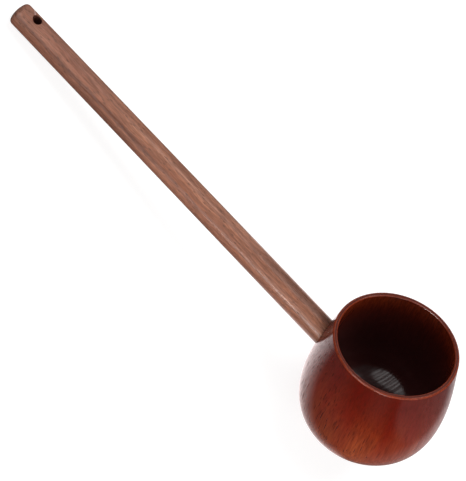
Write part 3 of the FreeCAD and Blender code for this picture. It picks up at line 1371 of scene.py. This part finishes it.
@dataclass
class TurnedCup:
    """The cup: flat foot, round heel, full belly, flared wall, thin lip and deep bowl."""

    rim_radius: float = 40.0
    rim_flare: float = 10.3
    height: float = 83.0
    belly_radius: float = 46.6
    belly_height: float = 35.0
    heel_radius: float = 20.5
    heel_turn: float = 45.0
    foot_radius: float = 23.0
    rim_run: float = 16.0
    belly_run_up: float = 17.5
    belly_run_down: float = 12.0
    heel_run: float = 10.0
    lip_width: float = 2.9
    lip_round: float = 1.0
    inner_flare: float = 5.5
    belly_wall: float = 6.6
    bottom_wall: float = 8.0
    inner_rim_run: float = 14.0
    inner_belly_run_up: float = 17.0
    inner_belly_run_down: float = 21.0
    inner_floor_run: float = 26.0
    turn_steps: int = 192
    foot_steps: int = 10
    heel_steps: int = 16
    lower_steps: int = 24
    side_steps: int = 40
    lip_steps: int = 8
    flat_steps: int = 4
    bowl_steps: int = 48
    outside_polish: float = 1.0
    lip_polish: float = 0.6
    bowl_polish: float = 0.45
    polish_edge: float = 0.5
    finish: RedLacquer = field(default_factory=RedLacquer)

    def outline(self) -> Outline:
        """The cup's outline: up its outside, over the lip and down into the bowl.

        Each point carries the share of polish that shows where it is seen square on.

        Returns:
            The outline.
        """
        out, lip, bowl = self.outside_polish, self.lip_polish, self.bowl_polish
        up = Vector((0, 1))
        heel_centre = Vector((self.foot_radius, self.heel_radius))
        belly = Vector((self.belly_radius, self.belly_height))
        inner_belly = Vector((self.belly_radius - self.belly_wall, self.belly_height))
        rim_side, mouth_side = heading(self.rim_flare - 90), heading(self.inner_flare - 90)
        rim = Vector((self.rim_radius, self.height))
        rim += rim_side * corner_step(self.lip_round, 90 + self.rim_flare)
        mouth = Vector((self.rim_radius - self.lip_width, self.height))
        mouth += mouth_side * corner_step(self.lip_round, 90 - self.inner_flare)
        rim_centre = rim - heading(self.rim_flare) * self.lip_round
        mouth_centre = mouth + heading(self.inner_flare) * self.lip_round
        outline = Outline()
        outline.add((0, 0), out)
        outline.line((self.foot_radius, 0), self.foot_steps, out)
        outline.arc(heel_centre, (-90, self.heel_turn - 90), self.heel_radius, self.heel_steps, out)
        runs = heading(self.heel_turn) * self.heel_run, up * -self.belly_run_down
        outline.curve(runs, belly, self.lower_steps, out)
        outline.curve((up * self.belly_run_up, rim_side * self.rim_run), rim, self.side_steps, out)
        outline.arc(rim_centre, (self.rim_flare, 90), self.lip_round, self.lip_steps, lip)
        flat_end = mouth_centre + up * self.lip_round
        for share, steps in ((0.1, 1), (0.9, self.flat_steps), (1.0, 1)):
            outline.line(outline.points[-1].lerp(flat_end, share), steps, lip)
        outline.arc(mouth_centre, (90, 180 + self.inner_flare), self.lip_round, self.lip_steps, lip)
        outline.add(mouth + mouth_side * self.polish_edge, bowl)
        runs = mouth_side * self.inner_rim_run, up * self.inner_belly_run_up
        outline.curve(runs, inner_belly, self.side_steps, bowl)
        runs = up * -self.inner_belly_run_down, Vector((self.inner_floor_run, 0))
        outline.curve(runs, (0, self.bottom_wall), self.bowl_steps, bowl)
        outline.points[-1].x = 0.0
        return outline

    def wall_crossings(self, handle: CopedHandle) -> tuple[float, float]:
        """Where the handle's axis passes through the wall.

        Args:
            handle: The handle.

        Returns:
            Its distances from the cup's axis on the inside and on the outside.
        """
        crossings = []
        way = heading(handle.rise)
        begin = Vector((0, handle.height))
        points = self.outline().points
        for first, second in zip(points, points[1:]):
            along, fall = second - first, begin - first
            cross = way.cross(along)
            if abs(cross) < PARALLEL:
                continue
            share = way.cross(fall) / cross
            distance = along.cross(fall) / cross
            if 0 <= share < 1 and distance > 0:
                crossings.append(distance)
        return min(crossings), max(crossings)

    def build(self, trees: TurningTrees, handle: CopedHandle, stance: Stance,
              material: bpy.types.Material) -> bpy.types.Object:
        """Turns the cup and bores it for the handle's tenon.

        Args:
            trees: The turning trees.
            handle: The handle that it takes.
            stance: How the ladle lies.
            material: The cup's finish.

        Returns:
            The finished piece.
        """
        inside, outside = self.wall_crossings(handle)
        log.info("wall along the handle from %.2f to %.2f mm", inside, outside)
        chain = self.outline().mesh("cup_outline", "polish")
        return shape_piece("turned_cup", chain, trees.cup, {
            "Turn Steps": self.turn_steps,
            "Mortise Radius": (handle.tenon_radius + handle.glue_gap) * MM,
            "Mortise Floor": (inside + handle.mortise_skin) * MM,
            "Handle Lean": handle.lean,
            "Handle Height": handle.height * MM,
            "Rest Lean": stance.lean,
            "Rest Place": stance.place,
            "Finish": material,
        })


@dataclass
class Ladle:
    """The whole ladle: its two pieces and the way it lies."""

    cup: TurnedCup = field(default_factory=TurnedCup)
    handle: CopedHandle = field(default_factory=CopedHandle)

    def stance(self, hole_place: Vector) -> Stance:
        """Works out how the ladle lies on its heel and on the edge of its butt.

        Args:
            hole_place: Where the middle of the hanging hole lies at rest, in metres.

        Returns:
            The stance.
        """
        cup, handle = self.cup, self.handle
        along, below = heading(180 - handle.rise), heading(-90 - handle.rise)
        butt_edge = Vector((0, handle.height)) + along * handle.edge_station
        butt_edge += below * (handle.butt_radius - handle.edge_radius)
        between = butt_edge - Vector((-cup.foot_radius, cup.heel_radius))
        climb = math.atan2(between.y, -between.x)
        step = math.asin((cup.heel_radius - handle.edge_radius) / between.length)
        lean = Matrix.Rotation(-(climb + step), 4, "Y")
        hole = handle.to_cup @ Vector((0, 0, handle.hole_station * MM))
        return Stance(lean=-(climb + step), place=hole_place - lean @ hole)

    def build(self, stance: Stance) -> list[bpy.types.Object]:
        """Makes both pieces, dresses them and sets them on the fixed frame.

        Args:
            stance: How the ladle lies.

        Returns:
            The pieces.
        """
        trees, patterns = TurningTrees(), WoodPatterns()
        handle_to_rest = stance.matrix @ self.handle.to_cup
        lacquer = self.cup.finish.material(patterns, stance.matrix)
        walnut = self.handle.finish.material(patterns, handle_to_rest, self.handle.hole)
        cup = self.cup.build(trees, self.handle, stance, lacquer)
        handle = self.handle.build(trees, self.cup, stance, walnut)
        for piece, node, slot in ((cup, "cup", Slot.CUP), (handle, "handle", Slot.HANDLE)):
            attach(piece, "root")
            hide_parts(node)
        return [cup, handle]


class LampRole(Enum):
    """What each softbox of the studio is for."""

    FRONT = "front_softbox"
    BACK = "back_softbox"
    SIDE = "side_softbox"
    WINDOW = "window_softbox"
    STRIP = "strip_light"
    GLINT = "glint_light"
    BACKDROP = "pale_backdrop"
    OVERHEAD = "overhead_softbox"


class Shows(Enum):
    """What a lamp does: light the ladle, show in its gloss, or both."""

    LIGHT = (True, False)
    GLOSS = (False, True)
    BOTH = (True, True)


@dataclass(frozen=True)
class Softbox:
    """A rectangular lamp that faces the ladle, from a bearing and an elevation in degrees."""

    role: LampRole
    bearing: float
    elevation: float
    distance: float
    width: float
    height: float
    radiance: float
    shows: Shows = Shows.BOTH
    fade: float = 0.0

    def hang(self, aim: Vector) -> bpy.types.Object:
        """Hangs the lamp.

        Args:
            aim: The point that it faces.

        Returns:
            The lamp's object.
        """
        lamp = bpy.data.lights.new(self.role.value, "AREA")
        lamp.shape = "RECTANGLE"
        lamp.size = self.width
        lamp.size_y = self.height
        lamp.energy = self.radiance * math.pi * self.width * self.height
        if self.fade > 0:
            self.soften(lamp)
        turn = Euler((0, -math.radians(self.elevation), math.radians(self.bearing)))
        way = turn.to_matrix() @ Vector((1, 0, 0))
        piece = set_down(self.role.value, lamp)
        piece.location = aim + way * self.distance
        piece.rotation_euler = way.to_track_quat("Z", "Y").to_euler()
        piece.visible_diffuse, piece.visible_glossy = self.shows.value
        return piece

    def soften(self, lamp: bpy.types.Light) -> None:
        """Lets the lamp fade towards its rim, as a softbox with a diffuser does.

        Args:
            lamp: The lamp.
        """
        lamp.use_nodes = True
        lamp.node_tree.nodes.clear()
        bench = NodeBench(lamp.node_tree)
        across = bench.put("ShaderNodeNewGeometry").outputs["Parametric"]
        off_middle = bench.vector_math("DISTANCE", across, (0.5, 0.5, 0.0))
        strength = bench.spread(off_middle, 0.5 * (1 - self.fade), 0.5, 1.0, 0.0)
        glow = bench.first("ShaderNodeEmission", {"Strength": strength})
        bench.put("ShaderNodeOutputLight", {"Surface": glow})


@dataclass(frozen=True)
class Studio:
    """The pale floor, the dim room, the softboxes and the camera."""

    aim: Place = (0.06, 0.0, 0.04)
    floor_size: float = 8.0
    floor_roughness: float = 0.9
    floor_white: float = 0.86
    floor_seen: float = 0.34
    floor_lift: float = 0.86
    mirrored_tint: Colour = (1.0, 0.88, 0.88, 1.0)
    mirrored_gain: float = 1.1
    pool_place: Place = (0.24, 0.03, 0.0)
    pool: Ramp = (0.0, 0.17, 0.36, 0.0)
    rear_place: Place = (0.26, 0.10, 0.0)
    rear: Ramp = (0.0, 0.22, 0.72, 0.0)
    near_front: Ramp = (-0.17, -0.07, 0.0, 0.08)
    right_slant: float = 1.1
    right: Ramp = (0.24, 0.44, 0.0, 0.18)
    patch_left: Ramp = (-0.03, 0.12)
    patch_right: Ramp = (0.150, 0.180, 1.0, 0.0)
    patch_slant: float = 0.2
    patch_front: Ramp = (-0.034, 0.018, 0.0, 1.85)
    room_light: float = 0.17
    camera_place: Place = (-0.246826, -0.719907, 0.846756)
    camera_ahead: Place = (0.227127, 0.643427, -0.731037)
    camera_up: Place = (-0.757713, 0.588321, 0.282399)
    focus_pixels: float = 1810.03
    clip_start: float = 0.05
    lamps: tuple[Softbox, ...] = (
        Softbox(LampRole.FRONT, bearing=-46, elevation=28, distance=2.0,
                width=2.2, height=1.0, radiance=2.0),
        Softbox(LampRole.BACK, bearing=100, elevation=64, distance=2.2,
                width=2.0, height=1.4, radiance=3.1, shows=Shows.LIGHT),
        Softbox(LampRole.SIDE, bearing=170, elevation=30, distance=2.2,
                width=1.0, height=1.0, radiance=1.0, shows=Shows.LIGHT),
        Softbox(LampRole.OVERHEAD, bearing=75, elevation=80, distance=2.2,
                width=0.9, height=0.8, radiance=2.4),
        Softbox(LampRole.WINDOW, bearing=-143, elevation=41, distance=2.2,
                width=2.3, height=2.6, radiance=1.8, shows=Shows.GLOSS, fade=0.25),
        Softbox(LampRole.STRIP, bearing=-70, elevation=3, distance=2.2,
                width=1.1, height=0.14, radiance=50.0),
        Softbox(LampRole.GLINT, bearing=-124, elevation=21, distance=2.2,
                width=1.1, height=0.24, radiance=26.0, shows=Shows.GLOSS),
        Softbox(LampRole.BACKDROP, bearing=118, elevation=28, distance=2.5,
                width=3.2, height=2.4, radiance=0.55, shows=Shows.GLOSS, fade=0.3),
    )

    def mirrored_room(self, bench: NodeBench, spot: Feed) -> Socket:
        """The light and dark that the ladle's gloss sees on the floor.

        Args:
            bench: The bench of the floor's material.
            spot: The floor's coordinates.

        Returns:
            The socket of its strength.
        """
        parts = bench.parts(spot)
        to_right = bench.math("MULTIPLY_ADD", parts["Y"], self.right_slant, parts["X"])
        to_back = bench.math("MULTIPLY_ADD", parts["X"], self.patch_slant, parts["Y"])
        patch = bench.times(bench.spread(parts["X"], *self.patch_left),
                            bench.spread(parts["X"], *self.patch_right),
                            bench.spread(to_back, *self.patch_front))
        ground = bench.chain(
            "MAXIMUM",
            bench.spread(bench.vector_math("DISTANCE", spot, self.pool_place), *self.pool),
            bench.spread(bench.vector_math("DISTANCE", spot, self.rear_place), *self.rear),
            bench.spread(parts["Y"], *self.near_front),
            bench.spread(to_right, *self.right),
            patch)
        return bench.times(ground, self.mirrored_gain)

    def lay_floor(self) -> bpy.types.Object:
        """Lays the floor, lit from the lamps and lifted to white where it is seen.

        Returns:
            The floor's object.
        """
        half = self.floor_size / 2
        mesh = bpy.data.meshes.new("floor")
        corners = [(-half, -half, 0), (half, -half, 0), (half, half, 0), (-half, half, 0)]
        mesh.from_pydata(corners, [], [(0, 1, 2, 3)])
        floor = set_down("floor", mesh)
        material, bench = bare_material("pale_floor")
        path = bench.put("ShaderNodeLightPath").outputs
        mirrored = bench.math("ADD", path["Is Glossy Ray"], path["Is Transmission Ray"])
        lit, plain = [(level, level, level, 1.0) for level in (self.floor_white, self.floor_seen)]
        face = bench.mix_colour(path["Is Camera Ray"], lit, plain)
        room = self.mirrored_room(bench, bench.put("ShaderNodeTexCoord").outputs["Object"])
        seen = bench.times(path["Is Camera Ray"], self.floor_lift)
        shade(bench, {
            "Base Color": bench.mix_colour(mirrored, face, BLACK),
            "Roughness": self.floor_roughness,
            "Specular IOR Level": 0.0,
            "Emission Color": bench.mix_colour(mirrored, WHITE, self.mirrored_tint),
            "Emission Strength": bench.math("MULTIPLY_ADD", mirrored, room, seen),
        })
        mesh.materials.append(material)
        return floor

    def light_room(self) -> None:
        """Gives the room its dim even light and hangs the softboxes."""
        world = bpy.data.worlds.new("studio_room")
        world.use_nodes = True
        background = world.node_tree.nodes["Background"]
        background.inputs["Color"].default_value = WHITE
        background.inputs["Strength"].default_value = self.room_light
        bpy.context.scene.world = world
        for lamp in self.lamps:
            lamp.hang(Vector(self.aim))

    def set_camera(self) -> bpy.types.Object:
        """Sets the camera at the photograph's viewing angle.

        Returns:
            The camera's object.
        """
        lens = bpy.data.cameras.new("camera")
        lens.sensor_width = SENSOR
        lens.lens = self.focus_pixels * SENSOR / max(PHOTO_WIDTH, PHOTO_HEIGHT)
        lens.clip_start = self.clip_start
        ahead, up = Vector(self.camera_ahead).normalized(), Vector(self.camera_up).normalized()
        across = ahead.cross(up).normalized()
        turn = Matrix((across, across.cross(ahead), -ahead)).transposed()
        camera = set_down("camera", lens)
        camera.matrix_world = Matrix.Translation(self.camera_place) @ turn.to_4x4()
        bpy.context.scene.camera = camera
        return camera

    def build(self) -> None:
        """Makes the studio."""
        self.lay_floor()
        self.light_room()
        self.set_camera()
        bpy.context.scene.view_settings.view_transform = "Standard"


def main() -> None:
    """Builds the ladle and its studio."""
    logging.basicConfig(level=logging.INFO, format="%(message)s")
    ladle = Ladle()
    stance = ladle.stance(Vector(frame["record"]["mounts"][0]["pos_m"]))
    place = [round(value, 6) for value in stance.place]
    log.info("lean %.3f degrees, place %s", math.degrees(stance.lean), place)
    for piece in ladle.build(stance):
        log.info("%s is in place", piece.name)
    Studio().build()


if __name__ == "__main__":
    main()
